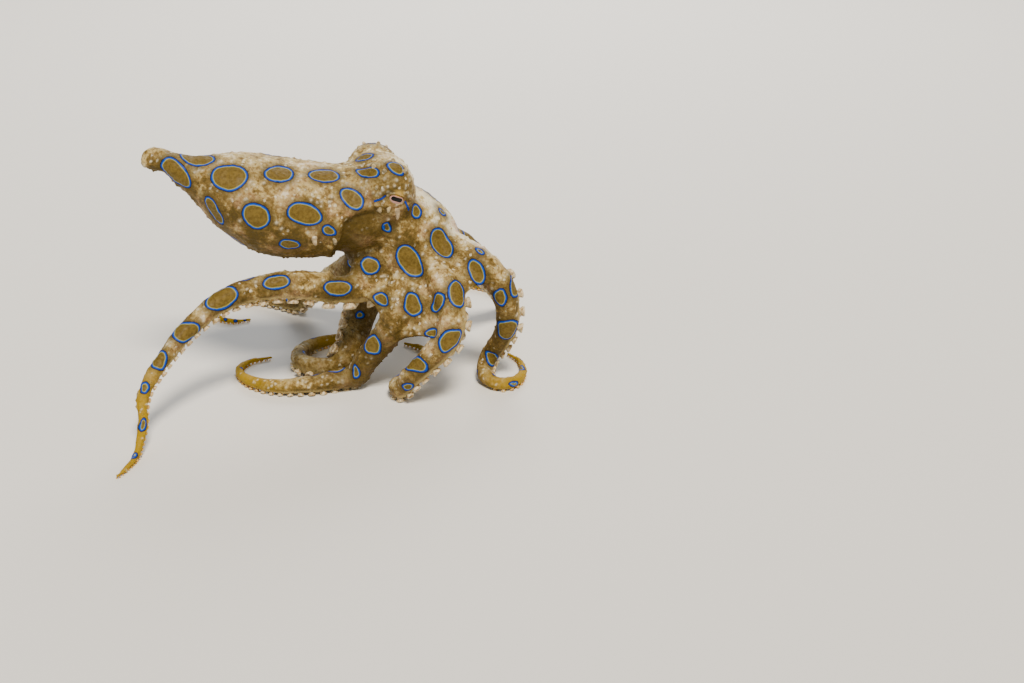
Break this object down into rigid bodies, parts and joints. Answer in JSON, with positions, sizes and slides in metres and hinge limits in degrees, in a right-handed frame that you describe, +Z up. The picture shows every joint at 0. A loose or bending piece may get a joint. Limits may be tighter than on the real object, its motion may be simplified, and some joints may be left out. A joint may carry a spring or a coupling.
{
  "type": "blue ringed octopus",
  "caption": "Blue ringed octopus that stands on its curled arms, life size, with a pointed mantle, raised eyes, a funnel, a web and suckers.",
  "frame": {"origin": "middle of the bounding box of the whole animal, at the floor", "axes": "+Z up; the head looks towards +X and a little to +Y, so the right side is towards -Y"},
  "size_m": [0.0643, 0.0777, 0.0431],
  "materials": {
    "skin": "wet skin",
    "eye": "glossy"
  },
  "bodies": {
    "root": {"mantle": "skin", "head": "skin", "funnel": "skin", "web": "skin", "arm_r1_upper": "skin", "arm_r1_middle": "skin", "arm_r1_tip": "skin", "arm_r2_upper": "skin", "arm_r2_middle": "skin", "arm_r2_tip": "skin", "arm_r3_upper": "skin", "arm_r3_middle": "skin", "arm_r3_tip": "skin", "arm_r4_upper": "skin", "arm_r4_middle": "skin", "arm_r4_tip": "skin", "arm_l1_upper": "skin", "arm_l1_middle": "skin", "arm_l1_tip": "skin", "arm_l2_upper": "skin", "arm_l2_middle": "skin", "arm_l2_tip": "skin", "arm_l3_upper": "skin", "arm_l3_middle": "skin", "arm_l3_tip": "skin", "arm_l4_upper": "skin", "arm_l4_middle": "skin", "arm_l4_tip": "skin", "eye_right": "eye", "eye_left": "eye"}
  },
  "joints": []
}
